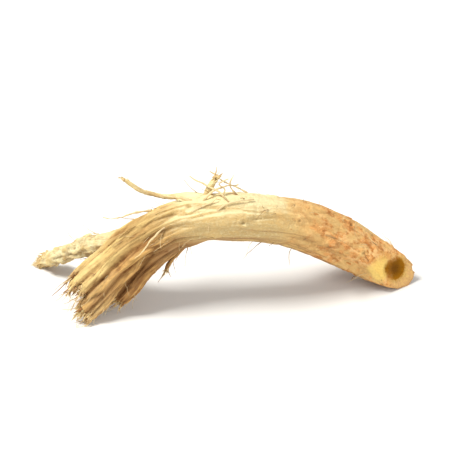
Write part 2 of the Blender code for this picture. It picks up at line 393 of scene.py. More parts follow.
class Board:
    """A node tree that is being built, and the place on the root that its patterns read."""

    def __init__(self, tree, place=None):
        self.tree = tree
        self.place = place

    def add(self, kind, inputs=None, **settings):
        """A new node with these settings. Each input takes a value or another node's output."""
        node = self.tree.nodes.new(kind)
        for name, value in settings.items():
            setattr(node, name, value)
        for name, value in (inputs or {}).items():
            if isinstance(value, bpy.types.NodeSocket):
                self.tree.links.new(value, node.inputs[name])
            else:
                node.inputs[name].default_value = value
        return node

    def make(self, kind, inputs=None, output=0, **settings):
        """One output of a new node."""
        return self.add(kind, inputs, **settings).outputs[output]

    def ends(self, *results):
        """The finished tree, with these as its outputs."""
        self.add("NodeGroupOutput", dict(enumerate(results)))
        return self.tree

    def work(self, operation, *values):
        """The result of a sum on numbers, such as ADD or POWER."""
        return self.make("ShaderNodeMath", dict(enumerate(values)), operation=operation)

    def plus(self, first, second):
        """The sum of two numbers."""
        return self.work("ADD", first, second)

    def minus(self, first, second):
        """The first number less the second."""
        return self.work("SUBTRACT", first, second)

    def times(self, *values):
        """The product of these numbers."""
        return functools.reduce(functools.partial(self.work, "MULTIPLY"), values)

    def times_plus(self, value, factor, added):
        """A number times a factor, plus another number."""
        return self.work("MULTIPLY_ADD", value, factor, added)

    def most(self, *values):
        """The largest of these numbers."""
        return functools.reduce(functools.partial(self.work, "MAXIMUM"), values)

    def turn(self, operation, *values):
        """The result of a sum on vectors."""
        inputs = dict(enumerate(values))
        if operation == "SCALE":
            inputs["Scale"] = inputs.pop(1)
        output = "Value" if operation == "LENGTH" else "Vector"
        return self.make("ShaderNodeVectorMath", inputs, output, operation=operation)

    def parts(self, vector):
        """The numbers of a vector, under X, Y and Z."""
        return self.add("ShaderNodeSeparateXYZ", {0: vector}).outputs

    def joined(self, *numbers):
        """A vector of three numbers."""
        return self.make("ShaderNodeCombineXYZ", dict(enumerate(numbers)))

    def ease(self, value, low, high, first=0.0, last=1.0):
        """Goes smoothly from first to last as the value goes from low to high."""
        inputs = {"Value": value, "From Min": low, "From Max": high, "To Min": first, "To Max": last}
        return self.make("ShaderNodeMapRange", inputs, "Result", interpolation_type="SMOOTHSTEP")

    def cover(self, under, over, *shares):
        """One colour over another, by the product of these shares."""
        return self.make("ShaderNodeMix", {0: self.times(*shares), 6: under, 7: over}, 2, data_type="RGBA")

    def layered(self, colour, *layers):
        """A colour under others, each laid over what is below it by the product of its shares."""
        for over, *shares in layers:
            colour = self.cover(colour, over, *shares)
        return colour

    def cloud(self, place, seed, detail=2.0, roughness=0.5, scale=1.0):
        """Soft noise from 0 to 1 at a place."""
        inputs = {"Vector": place, "W": seed, "Scale": scale, "Detail": detail, "Roughness": roughness}
        return self.make("ShaderNodeTexNoise", inputs, noise_dimensions="4D")

    def drawn_out(self, width, stretch):
        """The place scaled so that a pattern on it is this wide and runs this many widths along the root."""
        wide = self.work("DIVIDE", 1.0, width)
        return self.turn("MULTIPLY", self.place, self.joined(wide, wide, self.work("DIVIDE", wide, stretch)))

    def use(self, group, **inputs):
        """The outputs of a shared node group that takes these values."""
        return self.add("ShaderNodeGroup", inputs, node_tree=bpy.data.node_groups[group]).outputs

    def streak(self, name):
        """How far the place lies in one of the streaks."""
        return self.use("fibre streaks", Place=self.place, **dict(zip(STREAK_INPUTS, STREAKS[name])))["Share"]

    def patch(self, name):
        """How far the place lies in one of the patches."""
        return self.use("patches", Place=self.place, **dict(zip(PATCH_INPUTS, PATCHES[name])))["Share"]


def new_tree(name, kind, inputs, outputs=None):
    """A board with an empty node group, and what the group is given.

    Each input comes with its starting number, or with its kind of socket where it starts empty.
    """
    tree = bpy.data.node_groups.new(name, kind + "NodeTree")
    for label, start in inputs.items():
        sort = {float: "Float", int: "Int"}.get(type(start), start)
        socket = tree.interface.new_socket(label, in_out="INPUT", socket_type="NodeSocket" + sort)
        if sort != start:
            socket.default_value = start
    for label, sort in (outputs or {"Geometry": "Geometry"}).items():
        tree.interface.new_socket(label, in_out="OUTPUT", socket_type="NodeSocket" + sort)
    board = Board(tree)
    given = board.add("NodeGroupInput").outputs
    board.place = given.get("Place")
    return board, given


def smooth_route(points, steps):
    """Points on one smooth curve through these, each with its radius, this many to a span."""
    points = np.array(points, float)
    knots = np.vstack([2 * points[0] - points[1], points, 2 * points[-1] - points[-2]])
    route = []
    for a, b, c, d in zip(knots, knots[1:], knots[2:], knots[3:]):
        for t in np.arange(steps) / steps:
            route.append(b + 0.5 * t * (c - a + t * (2 * a - 5 * b + 4 * c - d + t * (3 * (b - c) + d - a))))
    return np.vstack([*route, points[-1]])


def unit(vectors):
    """These vectors at length one."""
    return vectors / np.linalg.norm(vectors, axis=-1, keepdims=True)


def dot(ones, others):
    """How far each vector reaches along another."""
    return (ones * others).sum(axis=1)


def strand_route(trunk, angle, reach, lean, radius):
    """A strand that starts inside the trunk, runs along it to the split end and leans out past it."""
    count = int(len(trunk) * STRAND_START)
    turn = math.radians(angle)
    route = []
    for place in range(count + 1):
        here, ahead, behind = (trunk[max(count - place + step, 0)] for step in (0, -1, 1))
        along = unit(ahead[:3] - behind[:3])
        side = np.array((0.0, 1.0, 0.0))
        out = math.cos(turn) * side + math.sin(turn) * unit(np.cross(side, along))
        share = place / count
        centre = here[:3] + out * STRAND_RING * (0.3 + 0.7 * share)
        route.append((*centre, radius * (0.7 + 0.3 * share)))
    for share, width in STRAND_TIP:
        route.append((*(centre + (along + lean * share * out) * reach * share), radius * width))
    return route


class Route:
    """One route in the row frame, in millimetres: its points, radii, distances and directions."""

    def __init__(self, kind, points, steps, tone=None):
        line = smooth_route(points, steps)
        self.kind = kind
        self.tone = TONE_OF[kind] if tone is None else tone
        self.points = line[:, :3] - BOX_MIDDLE
        self.radii = line[:, 3]
        self.along = unit(np.gradient(self.points, axis=0))
        self.side = unit(np.array((0.0, 1.0, 0.0)) - self.along * self.along[:, 1:2])
        self.over = np.cross(self.along, self.side)
        gaps = np.linalg.norm(np.diff(self.points, axis=0), axis=1)
        self.run = np.concatenate([[0.0], np.cumsum(gaps)])


def root_routes():
    """The trunk and the strands that share its pattern, then the routes with patterns of their own."""
    coarse = smooth_route(TRUNK_LINE, TRUNK_STEPS)
    routes = [Route("trunk", TRUNK_LINE, ROUTE_STEPS)]
    for *strand, tone in STRANDS:
        routes.append(Route("strand", strand_route(coarse, *strand), STRAND_STEPS, tone))
    others = [("branch", BRANCH_LINE), ("foot", FRONT_FOOT_LINE), ("low", LOW_STRAND_LINE)]
    others += zip(ROOTLET_KINDS, ROOTLETS)
    return routes + [Route(kind, line, ROUTE_STEPS) for kind, line in others]


def show(name, data):
    """A mesh, curve, light or camera as an object in the scene."""
    thing = bpy.data.objects.new(name, data)
    bpy.context.scene.collection.objects.link(thing)
    return thing


def settle(piece):
    """A new object with the mesh that the piece's modifiers make, in its place."""
    graph = bpy.context.evaluated_depsgraph_get()
    mesh = bpy.data.meshes.new_from_object(piece.evaluated_get(graph))
    name = piece.name
    bpy.data.objects.remove(piece)
    return show(name, mesh)


def even_copy(node):
    """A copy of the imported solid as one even, softened mesh."""
    mesh = node.data.copy()
    body = bmesh.new()
    body.from_mesh(mesh)
    bmesh.ops.remove_doubles(body, verts=body.verts, dist=WELDED * MM)
    body.to_mesh(mesh)
    body.free()
    mesh.materials.clear()
    piece = show("root_body", mesh)
    grid = piece.modifiers.new("even mesh", "REMESH")
    grid.mode = "VOXEL"
    grid.voxel_size = GRAIN * MM
    grid.use_smooth_shade = True
    soft = piece.modifiers.new("softened", "SMOOTH")
    soft.factor = 0.5
    soft.iterations = SOFTENING
    return settle(piece)


def ease(value, low, high):
    """Goes smoothly from 0 to 1 as the value goes from low to high."""
    share = np.clip((value - low) / (high - low), 0.0, 1.0)
    return share * share * (3 - 2 * share)


def points_of(mesh):
    """The mesh's points in millimetres, and the way that each faces."""
    points = np.empty(len(mesh.vertices) * 3)
    mesh.vertices.foreach_get("co", points)
    facing = np.empty(len(points))
    mesh.vertex_normals.foreach_get("vector", facing)
    return points.reshape(-1, 3) / MM, facing.reshape(-1, 3)


def write_marks(mesh, marks):
    """Writes numbers or vectors on every point of the mesh."""
    for name, values in marks.items():
        kind, field = ("FLOAT", "value") if values.ndim == 1 else ("FLOAT_VECTOR", "vector")
        attribute = mesh.attributes.new(name, kind, "POINT")
        attribute.data.foreach_set(field, values.astype(np.float32).ravel())


def nearest_on(points, routes):
    """What lies closest to each point.

    These are the route and the place on it, how much closer it is than another pattern, and the
    strand, with how much closer that is than another strand.
    """
    knots = np.concatenate([route.points for route in routes])
    radii = np.concatenate([route.radii for route in routes])
    starts = np.cumsum([0] + [len(route.points) for route in routes[:-1]])
    patterns = [0] + [n for n, route in enumerate(routes) if route.kind not in ("trunk", "strand")]
    strand_kinds = ("strand", "branch", "foot", "low")
    strands = np.array([n for n, route in enumerate(routes) if route.kind in strand_kinds])
    owner, step, strand = (np.empty(len(points), int) for _ in range(3))
    lead, gap = np.empty(len(points)), np.empty(len(points))
    squares = (knots**2).sum(axis=1)
    for first in range(0, len(points), COMPARED_AT_ONCE):
        some = points[first : first + COMPARED_AT_ONCE]
        mine = slice(first, first + len(some))
        apart = (some**2).sum(axis=1)[:, None] + squares - 2 * some @ knots.T
        off = np.sqrt(np.maximum(apart, 0)) - radii
        closest = np.minimum.reduceat(off, starts, axis=1)
        owner[mine] = closest.argmin(axis=1)
        step[mine] = off.argmin(axis=1) - starts[owner[mine]]
        strand[mine] = strands[closest[:, strands].argmin(axis=1)]
        pattern_offs = np.minimum.reduceat(closest, patterns, axis=1)
        for leads, offs in ((lead, pattern_offs), (gap, closest[:, strands])):
            two = np.partition(offs, 1, axis=1)
            leads[mine] = two[:, 1] - two[:, 0]
    return owner, step, lead, strand, gap


def neighbours(mesh):
    """The mesh's edges, and how many of them meet at each point."""
    edges = np.empty(len(mesh.edges) * 2, int)
    mesh.edges.foreach_get("vertices", edges)
    edges = edges.reshape(-1, 2)
    return edges, np.maximum(np.bincount(edges.ravel(), minlength=len(mesh.vertices)), 1)


def evened(values, edges, shares, rounds):
    """What is on the points after each has moved half way to the mean of its neighbours this many times."""
    values = values.reshape(len(shares), -1)
    for _ in range(rounds):
        sums = np.empty_like(values)
        for index, column in enumerate(values.T):
            sums[:, index] = np.bincount(edges[:, 0], column[edges[:, 1]], len(shares))
            sums[:, index] += np.bincount(edges[:, 1], column[edges[:, 0]], len(shares))
        values = 0.5 * values + 0.5 * sums / shares[:, None]
    return values


def scar_profile(points, trunk):
    """A raised ring with a pit inside it at every scar: from -1 in the pit to 1 on the ring."""
    height = np.zeros(len(points))
    for share, angle, radius in SCARS:
        step = int(share * (len(trunk.points) - 1))
        turn = math.radians(angle)
        out = math.cos(turn) * trunk.side[step] + math.sin(turn) * trunk.over[step]
        place = trunk.points[step] + out * trunk.radii[step]
        away = np.linalg.norm(points - place, axis=1) / radius
        height += np.exp(-(((away - 0.95) / 0.35) ** 2)) - 1.2 * np.exp(-((away / 0.5) ** 2))
    return height


def face_frame():
    """The cut face's own directions: level across it, up its slope, and out of it."""
    level = unit(np.cross((0.0, 0.0, 1.0), CUT_FACING))
    return np.stack([level, np.cross(CUT_FACING, level), CUT_FACING], axis=1)


def mark_bark(piece, routes):
    """Writes on every point of the mesh where it lies on the root, for the relief and the materials."""
    mesh = piece.data
    points, facing = points_of(mesh)
    owner, step, lead, strand, gap = nearest_on(points, routes)
    trunk = routes[0]
    place = np.zeros((len(points), 3))
    along = np.zeros((len(points), 3))
    marks = {name: np.zeros(len(points)) for name in (*FADING, "torn", "tip")}
    for number, route in enumerate(routes):
        mine = owner == number
        if not mine.any():
            continue
        at, end = step[mine], route.run[-1]
        spoke = points[mine] - route.points[at]
        run = route.run[at] + dot(spoke, route.along[at])
        if route.kind != "stub":
            marks["torn"][mine] = ease(run, end - TORN_LENGTH, end - 0.2)
            marks["tip"][mine] = ease(run, end - NOTCHED_LENGTH, end)
        marks["tone"][mine] = route.tone
        setting_in = ROOTLET_PALE_RUN if route.kind == "rootlet" else PALE_RUN
        marks["pale"][mine] = PALE_OF[route.kind] * ease(run, *setting_in)
        marks["ridged"][mine] = RIDGED_OF.get(route.kind, 1.0)
        guide, shift = route, PATTERN_APART * number
        if route.kind in ("trunk", "strand"):
            apart = ((points[mine][:, None] - trunk.points) ** 2).sum(axis=2)
            guide, at, shift = trunk, apart.argmin(axis=1), 0.0
        spoke = points[mine] - guide.points[at]
        ahead = dot(spoke, guide.along[at])
        spoke -= ahead[:, None] * guide.along[at]
        place[mine, 0] = dot(spoke, guide.side[at]) + shift
        place[mine, 1] = dot(spoke, guide.over[at])
        place[mine, 2] = guide.run[at] + ahead
        along[mine] = -guide.along[at] if guide is trunk else guide.along[at]
        if route.kind == "trunk":
            deeper = ease(-points[mine, 0], -SPLIT_FROM, -SPLIT_FULL)
            tones = np.array([other.tone for other in routes])[strand[mine]]
            marks["tone"][mine] += (tones - route.tone) * deeper
            marks["ridged"][mine] = RIDGES_ON_TRUNK + (1 - RIDGES_ON_TRUNK) * deeper
            marks["torn"][mine] = 1 - ease(place[mine, 2], 0.1, TORN_LENGTH)
            marks["tip"][mine] = 1 - ease(place[mine, 2], 0.0, NOTCHED_LENGTH)
    edges, shares = neighbours(mesh)
    fading = np.stack([marks[name] for name in FADING], axis=1)
    marks.update(zip(FADING, evened(fading, edges, shares, FADE_ROUNDS).T))
    off_cut = (points - (CUT_POINT - BOX_MIDDLE)) @ CUT_FACING
    marks["tip"] *= ease(points[:, 2], *NOTCH_HEIGHTS)
    marks["cut"] = ease(off_cut, *CUT_EDGE) * ease(facing @ CUT_FACING, *CUT_TURN) * (owner == 0)
    marks["rim"] = evened(marks["cut"], edges, shares, RIM_ROUNDS)[:, 0]
    marks["glow"] = evened(marks["rim"], edges, shares, GLOW_ROUNDS)[:, 0]
    marks["seam"] = 1 - ease(lead, 0.0, SEAM_WIDTH)
    marks["split"] = (1 - ease(gap, 0.0, SPLIT_GAP_WIDTH)) * ease(-points[:, 0], *SPLIT_GAP_RUN)
    marks["scar"] = scar_profile(points, trunk) * (1 - marks["cut"])
    marks["hairy"] = (1 - marks["glow"]) * (1 - ease(-facing[:, 2], *FACING_DOWN))
    marks["flaky"] = marks["hairy"] * ease(points[:, 0], *FLAKY_RUN)
    face = (points - (CORE_MIDDLE - BOX_MIDDLE)) @ face_frame()
    write_marks(mesh, {**marks, "bark_place": place, "face_place": face, "along": along})


def mark_hollows(piece):
    """Writes how deep each point lies below the surface round it, in millimetres: grooves and nicks, where
    the materials paint dirt and shade.
    """
    points, facing = points_of(piece.data)
    edges, shares = neighbours(piece.data)
    near = evened(points, edges, shares, SMALL_ROUNDS)
    wide = evened(near, edges, shares, WIDE_ROUNDS - SMALL_ROUNDS)
    write_marks(piece.data, {"nick": dot(near - points, facing), "hollow": dot(wide - points, facing)})


def grow(piece, tree, values):
    """Runs a Geometry Nodes tree on a piece with these inputs, and keeps the result as a plain mesh."""
    modifier = piece.modifiers.new(tree.name, "NODES")
    modifier.node_group = tree
    for socket in tree.interface.items_tree:
        if socket.in_out == "INPUT" and socket.name in values:
            modifier[socket.identifier] = values[socket.name]
    return settle(piece)


def marked(board, name, kind="FLOAT"):
    """What is written on the points under this name, inside a Geometry Nodes tree."""
    return board.make("GeometryNodeInputNamedAttribute", {"Name": name}, "Attribute", data_type=kind)


def noted(board, geometry, name, value, kind="FLOAT"):
    """Geometry with a value written on each of its points."""
    inputs = {"Geometry": geometry, "Name": name, "Value": value}
    return board.make("GeometryNodeStoreNamedAttribute", inputs, data_type=kind, domain="POINT")


def drawn(board, low, high, seed):
    """A random number for each point, or a random vector between two vectors."""
    kind, first, output = ("FLOAT_VECTOR", 0, 0) if isinstance(low, tuple) else ("FLOAT", 2, 1)
    inputs = {first: low, first + 1: high, "Seed": seed}
    return board.make("FunctionNodeRandomValue", inputs, output, data_type=kind)


def moved(board, geometry, offset):
    """Geometry with each point moved by a vector."""
    return board.make("GeometryNodeSetPosition", {"Geometry": geometry, "Offset": offset})


def above_floor(board, geometry, least):
    """Geometry with every point lifted to at least this height."""
    here = board.parts(board.make("GeometryNodeInputPosition"))
    lifted = board.joined(here["X"], here["Y"], board.most(here["Z"], least))
    return board.make("GeometryNodeSetPosition", {"Geometry": geometry, "Position": lifted})


def pointed(board, vector, axis, start=(0.0, 0.0, 0.0), pivot="AUTO"):
    """A turn that points an axis along a vector."""
    inputs = {"Rotation": start, "Vector": vector}
    return board.make("FunctionNodeAlignRotationToVector", inputs, axis=axis, pivot_axis=pivot)


def planted(board, points, thing, rotation, scale):
    """A copy of a thing on each point, as real geometry."""
    inputs = {"Points": points, "Instance": thing, "Rotation": rotation, "Scale": scale}
    copies = board.make("GeometryNodeInstanceOnPoints", inputs)
    return board.make("GeometryNodeRealizeInstances", {"Geometry": copies})


def jitter(board, scale):
    """A small step to any side that changes from place to place."""
    inputs = {"Vector": board.make("GeometryNodeInputPosition"), "Scale": scale, "Detail": 1.0}
    step = board.make("ShaderNodeTexNoise", inputs, "Color", noise_dimensions="3D")
    return board.turn("SUBTRACT", step, (0.5, 0.5, 0.5))


def finished(board, geometry, material):
    """Real, smooth geometry with its material, as the tree's result."""
    smooth = board.make("GeometryNodeSetShadeSmooth", {"Geometry": geometry})
    solid = board.make("GeometryNodeRealizeInstances", {"Geometry": smooth})
    return board.ends(board.make("GeometryNodeSetMaterial", {"Geometry": solid, "Material": material}))


def core_share(board, place, seed):
    """How far out a place on the cut face lies from the core's middle, 1 at the core's uneven edge."""
    flat = board.turn("MULTIPLY", place, (1 / CORE_RADIUS, 1 / CORE_RADIUS, 0.0))
    wander = board.cloud(place, board.plus(seed, CORE_SEED), scale=1.6)
    return board.times_plus(board.minus(wander, 0.5), 0.35, board.turn("LENGTH", flat))


def outward(board, place):
    """The way out from the core's middle, level with the cut face."""
    return board.turn("NORMALIZE", board.turn("MULTIPLY", place, (1.0, 1.0, 0.0)))


def cut_face_depth(board, place, seed):
    """How deep the cut face lies: a sunken core with a groove round it, cracks and fine rays."""
    core = core_share(board, place, seed)
    groove = board.minus(board.ease(core, 0.82, 0.96), board.ease(core, 0.96, 1.2))
    rays = board.cloud(outward(board, place), board.plus(seed, RAY_SEED), scale=6.0)
    rays = board.minus(rays, 0.5)
    grit = board.cloud(place, board.plus(seed, GRIT_SEED), detail=2.5, scale=3.5)
    crack = board.ease(board.work("ABSOLUTE", rays), 0.0, 0.02, 1.0, 0.0)
    depth = board.times_plus(board.ease(core, 0.0, 1.05, 1.0, 0.3), 0.8, groove)
    depth = board.times_plus(board.times(crack, board.ease(core, 0.8, 1.3)), 0.6, depth)
    depth = board.times_plus(rays, board.ease(core, 0.25, 0.9, 0.0, 0.9), depth)
    return board.times_plus(board.minus(grit, 0.5), 1.4, depth)


def relief_tree():
    """Carves furrows, wrinkles, rings, scars, torn fibres and the cut face into the even mesh."""
    materials = dict.fromkeys(("Bark", "Cut face", "Torn wood"), "Material")
    inputs = {"Geometry": "Geometry", **RELIEF, **materials}
    board, given = new_tree("bark relief", "Geometry", inputs)
    names = ("bark_place", "face_place", "along")
    board.place, face_place, along = (marked(board, name, "FLOAT_VECTOR") for name in names)
    names = ("ridged", "cut", "torn", "seam", "pale", "tip", "scar", "split")
    ridged, cut, torn, seam, pale, tip, scar, split = (marked(board, name) for name in names)

    def inward(name):
        """One of the depths as a height."""
        return board.times(given[name], -1.0)

    def pattern(width, stretch, step, **look):
        """Soft noise that runs along the root, from 0 to 1."""
        return board.cloud(board.drawn_out(width, stretch), board.plus(given["Seed"], step), **look)

    def lines(width, stretch, step, sharpness):
        """Long lines that wander along the root: 1 in the middle of a furrow, 0 on the ridge beside it."""
        off_line = board.work("ABSOLUTE", board.minus(pattern(width, stretch, step, detail=1.5), 0.5))
        return board.ease(off_line, 0.0, sharpness, 1.0, 0.0)

    def bumps(*numbers):
        """Soft bumps and dips along the root, from -0.5 to 0.5."""
        return board.minus(pattern(*numbers), 0.5)

    furrow = lines(given["Furrow width"], *FURROWS)
    furrow = board.times(furrow, board.ease(pattern(*PATCHINESS), 0.35, 0.6, 0.3, 1.0), ridged)
    wrinkle = board.times(lines(given["Wrinkle width"], *WRINKLES), board.ease(ridged, 0.2, 1.0, 0.35, 1.0))
    ring = board.cloud(board.turn("MULTIPLY", board.place, RINGS), board.plus(given["Seed"], RING_SEED))
    lump = board.times(bumps(*LUMPS), board.ease(pale, 0.78, 0.95))
    height = board.times(furrow, inward("Furrow depth"))
    for share, size in (
        (lump, given["Lump height"]),
        (wrinkle, inward("Wrinkle depth")),
        (bumps(*SWELL), given["Swell"]),
        (board.ease(ring, 0.56, 0.72), inward("Ring depth")),
        (bumps(*PEBBLES), given["Pebble height"]),
        (scar, given["Scar height"]),
    ):
        height = board.times_plus(share, size, height)
    height = board.times(height, board.minus(1.0, board.most(cut, seam)))
    height = board.minus(height, board.times(split, given["Split depth"]))
    splinter = board.times(lines(SPLINTER_WIDTH, *SPLINTERS), torn)
    height = board.times_plus(splinter, inward("Torn depth"), height)
    face = cut_face_depth(board, face_place, given["Seed"])
    height = board.minus(height, board.times(face, board.times(given["Core depth"], cut)))

    notch = board.times(board.ease(pattern(*NOTCHES, roughness=0.6), 0.40, 0.60), tip)
    drawn_back = board.turn("SCALE", along, board.times(notch, inward("Notch depth")))
    normal = board.make("GeometryNodeInputNormal")
    offset = board.turn("ADD", board.turn("SCALE", normal, height), drawn_back)
    solid = above_floor(board, moved(board, given["Geometry"], offset), 0.0)
    kept = board.minus(1.0, cut)
    solid = noted(board, solid, "furrow", board.times(furrow, kept))
    solid = noted(board, solid, "wrinkle", board.times(wrinkle, kept))
    # How far each point faces up: the bark paints a highlight on the tops and shade on the undersides from
    # it.
    solid = noted(board, solid, "upward", board.parts(normal)["Z"])
    solid = board.make("GeometryNodeRealizeInstances", {"Geometry": solid})
    for mark, name in ((None, "Bark"), (cut, "Cut face"), (torn, "Torn wood")):
        inputs = {"Geometry": solid, "Material": given[name]}
        if mark is not None:
            inputs["Selection"] = board.make("FunctionNodeCompare", {0: mark, 1: 0.5})
        solid = board.make("GeometryNodeSetMaterial", inputs)
    return board.ends(solid)


def rounding_tree():
    """Gives curves a round, tapered body. Their points past the box are dropped, so that none stand out."""
    inputs = {
        "Curves": "Geometry",
        "Width": 0.1 * MM,
        "Tip share": 0.35,
        "Sides": THREAD_SIDES,
        "Waver": 0.1 * MM,
        "Lowest corner": "Vector",
        "Highest corner": "Vector",
        "Material": "Material",
    }
    board, given = new_tree("rounded threads", "Geometry", inputs)
    reach = board.make("GeometryNodeSplineParameter")
    position = board.make("GeometryNodeInputPosition")
    waver = board.times(given["Waver"], board.ease(reach, 0.0, 0.6))
    lines = moved(board, given["Curves"], board.turn("SCALE", jitter(board, WAVER_SCALE), waver))
    lines = above_floor(board, lines, given["Width"])
    outside = []
    for corner, operation in (("Lowest corner", "LESS_THAN"), ("Highest corner", "GREATER_THAN")):
        here, limit = board.parts(position), board.parts(given[corner])
        outside += [board.work(operation, here[axis], limit[axis]) for axis in "XYZ"]
    inputs = {"Geometry": lines, "Selection": board.most(*outside)}
    lines = board.make("GeometryNodeDeleteGeometry", inputs, domain="POINT")
    taper = board.minus(1.0, board.times(reach, board.minus(1.0, given["Tip share"])))
    radius = board.make("GeometryNodeInputRadius")
    width = board.times(board.times(given["Width"], 0.5), board.times(taper, radius))
    inputs = {"Vector": position, "Scale": KNOT_SCALE, "Detail": 2.0}
    knots = board.make("ShaderNodeTexNoise", inputs, noise_dimensions="3D")
    width = board.times(width, board.ease(knots, 0.3, 0.7, 0.6, 1.25))
    ring = board.make("GeometryNodeCurvePrimitiveCircle", {"Resolution": given["Sides"], "Radius": 1.0})
    lines = noted(board, lines, "reach", reach)
    inputs = {"Curve": lines, "Profile Curve": ring, "Scale": width, "Fill Caps": True}
    return finished(board, board.make("GeometryNodeCurveToMesh", inputs), given["Material"])


def scattered_points(board, given):
    """Points spread over the part of a surface where a mark is above a share: (points, their normals)."""
    chosen = board.make("FunctionNodeCompare", {0: marked(board, given["Where"]), 1: given["From share"]})
    inputs = {"Mesh": given["Geometry"], "Selection": chosen, "Density": given["Per square metre"]}
    spread = board.add("GeometryNodeDistributePointsOnFaces", {**inputs, "Seed": given["Seed"]}).outputs
    return spread["Points"], spread["Normal"]


def named(names, row):
    """A row of a table by its columns' names, with its lengths in metres."""
    return {name: value * MM if name in IN_MILLIMETRES else value for name, value in zip(names, row)}


def thread_tree(rounding):
    """Thin tapered threads that stand on chosen points of a surface, lean along the root and curl."""
    inputs = {"Geometry": "Geometry", **named(THREAD_INPUTS, THREADS["torn_fibres"]), "Where": "String"}
    inputs |= {"Lowest corner": "Vector", "Highest corner": "Vector", "Material": "Material"}
    board, given = new_tree("threads", "Geometry", inputs)
    points, upright = scattered_points(board, given)
    seeds = [board.plus(given["Seed"], float(step)) for step in range(1, 4)]
    length = board.work("POWER", drawn(board, 0.0, 1.0, seeds[0]), 1.7)
    length = board.times_plus(length, board.minus(given["Longest"], given["Shortest"]), given["Shortest"])
    bend = drawn(board, (-1.0, -1.0, -1.0), (1.0, 1.0, 0.7), seeds[1])
    leaning = board.turn("SCALE", marked(board, "along", "FLOAT_VECTOR"), given["Lean"])
    upright = board.turn("SCALE", upright, board.minus(1.0, given["Lean"]))
    towards = board.turn("ADD", board.turn("ADD", leaning, upright), board.turn("SCALE", bend, 0.22))
    points = noted(board, points, "bend", bend, "FLOAT_VECTOR")
    points = noted(board, points, "length", length)
    points = noted(board, points, "tone", drawn(board, 0.0, 1.0, seeds[2]))

    line = board.make("GeometryNodeCurvePrimitiveLine", {"Start": (0, 0, 0), "End": (0, 0, 1)})
    line = board.make("GeometryNodeResampleCurve", {"Curve": line, "Count": THREAD_KNOTS})
    size = board.joined(length, length, length)
    lines = planted(board, points, line, pointed(board, towards, "Z"), size)
    reach = board.make("GeometryNodeSplineParameter")
    curl = board.times(marked(board, "length"), given["Curl"])
    curl = board.times(curl, board.times(reach, reach))
    lines = moved(board, lines, board.turn("SCALE", marked(board, "bend", "FLOAT_VECTOR"), curl))
    grade = board.ease(marked(board, "tone"), 0.0, 1.0, 0.7, 1.4)
    lines = board.make("GeometryNodeSetCurveRadius", {"Curve": lines, "Radius": grade})
    passed_on = ("Tip share", "Waver", "Lowest corner", "Highest corner", "Material")
    inputs = {"Curves": lines, "Width": given["Thickness"], **{name: given[name] for name in passed_on}}
    return board.ends(board.make("GeometryNodeGroup", inputs, node_tree=rounding))


def scatter_tree():
    """Small lumps or scales that lie on chosen points of a surface, each turned, sized and dented."""
    inputs = {"Geometry": "Geometry", **named(BIT_INPUTS, BITS["soil_crumbs"]), "Where": "String"}
    inputs["Material"] = "Material"
    board, given = new_tree("scattered bits", "Geometry", inputs)
    points, upright = scattered_points(board, given)
    seeds = [board.plus(given["Seed"], float(step)) for step in range(1, 4)]
    along = marked(board, "along", "FLOAT_VECTOR")
    lengthways = pointed(board, along, "X", pointed(board, upright, "Z"), "Z")
    tilt = drawn(board, (-1.0, -1.0, -1.5), (1.0, 1.0, 1.5), seeds[0])
    tilt = board.make("FunctionNodeEulerToRotation", {0: board.turn("SCALE", tilt, given["Tilt"])})
    turns = {"Rotation": lengthways, "Rotate By": tilt}
    turned = board.make("FunctionNodeRotateRotation", turns, rotation_space="LOCAL")
    size = board.joined(given["Length"], given["Width"], given["Thickness"])
    size = board.turn("SCALE", size, drawn(board, 0.35, 1.0, seeds[1]))
    points = noted(board, points, "tone", drawn(board, 0.0, 1.0, seeds[2]))
    lump = board.make("GeometryNodeMeshIcoSphere", {"Radius": 0.5, "Subdivisions": 2})
    bits = planted(board, points, lump, turned, size)
    dent = board.turn("SCALE", jitter(board, DENT_SCALE), board.times(given["Dents"], given["Width"]))
    return finished(board, above_floor(board, moved(board, bits, dent), 0.0), given["Material"])


def whisker_lines():
    """The whiskers' routes as one curve object."""
    curve = bpy.data.curves.new("whiskers", "CURVE")
    curve.dimensions = "3D"
    for points in WHISKERS:
        line = smooth_route(points, WHISKER_STEPS)
        spline = curve.splines.new("POLY")
        spline.points.add(len(line) - 1)
        for point, (x, y, z, radius) in zip(spline.points, line):
            point.co = (*((np.array((x, y, z)) - BOX_MIDDLE) * MM), 1)
            point.radius = radius
    return show("whiskers", curve)


def streaks_group():
    """Fine fibres that run along the root: a share from 0 to 1."""
    inputs = {"Place": "Vector", "Width": 0.15, "Stretch": 10.0, "Seed": 0.0}
    board, given = new_tree("fibre streaks", "Shader", inputs, {"Share": "Float"})
    field = board.cloud(board.drawn_out(given["Width"], given["Stretch"]), given["Seed"], 3.0, 0.6)
    return board.ends(board.ease(field, 0.32, 0.68))


def patches_group():
    """Patches with soft or hard edges: a share from 0 to 1."""
    inputs = {"Place": "Vector", "Size": 1.0, "Stretch": 1.5, "Cover": 0.5, "Edge": 0.1, "Seed": 0.0}
    board, given = new_tree("patches", "Shader", inputs, {"Share": "Float"})
    field = board.cloud(board.drawn_out(given["Size"], given["Stretch"]), given["Seed"], 4.0, 0.62)
    level = board.times_plus(board.minus(1.0, given["Cover"]), 0.6, 0.2)
    low, high = board.minus(level, given["Edge"]), board.plus(level, given["Edge"])
    return board.ends(board.ease(field, low, high))


